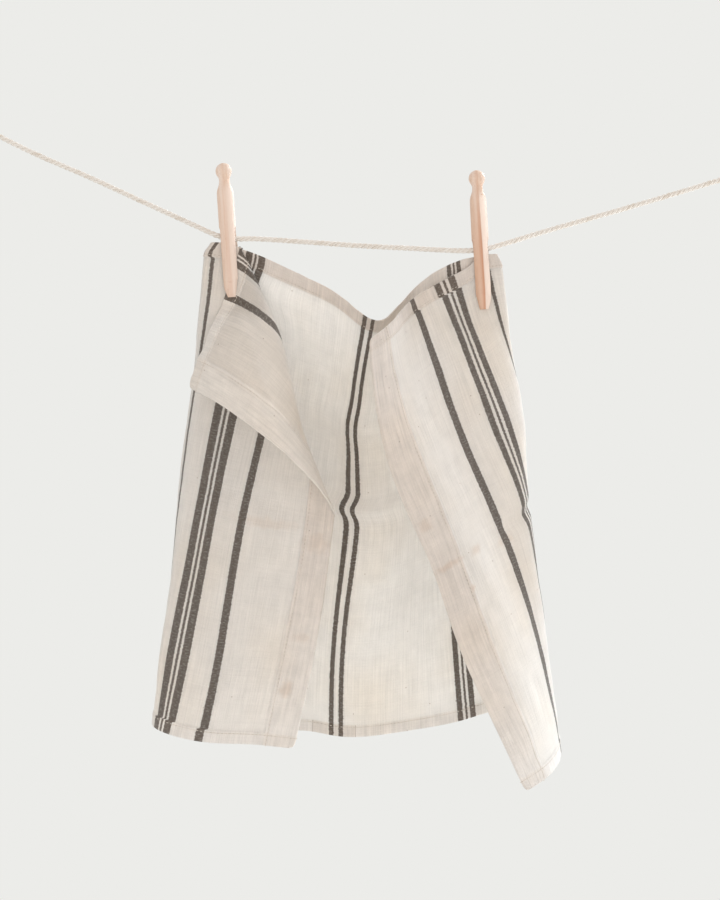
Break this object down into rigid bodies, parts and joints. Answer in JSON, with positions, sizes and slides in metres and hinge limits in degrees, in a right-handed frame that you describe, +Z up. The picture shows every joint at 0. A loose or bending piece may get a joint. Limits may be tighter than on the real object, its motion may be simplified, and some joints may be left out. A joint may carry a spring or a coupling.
{
  "type": "tea towel pegged on a clothes line",
  "caption": "Striped cotton tea towel hanging open-fronted from a twisted clothes line by two wooden dolly pegs, one top corner turned over.",
  "frame": {"origin": "centre of the eye at the line's left end", "axes": "+X along the line to the right as seen from the open side of the towel, +Y away from the viewer through the back panel, +Z up"},
  "size_m": [0.6843, 0.1775, 0.5401],
  "materials": {
    "towel": "cream slubby cotton with charcoal stripes",
    "peg_left": "bare pale beech",
    "peg_right": "bare pale beech, a little redder",
    "line": "twisted undyed cotton cord"
  },
  "bodies": {
    "root": {"towel": "towel", "peg_left": "peg_left", "peg_right": "peg_right", "clothes_line": "line", "line_whipping_left": "line", "line_whipping_right": "line", "line_eye_left": "line", "line_eye_right": "line"}
  },
  "joints": []
}
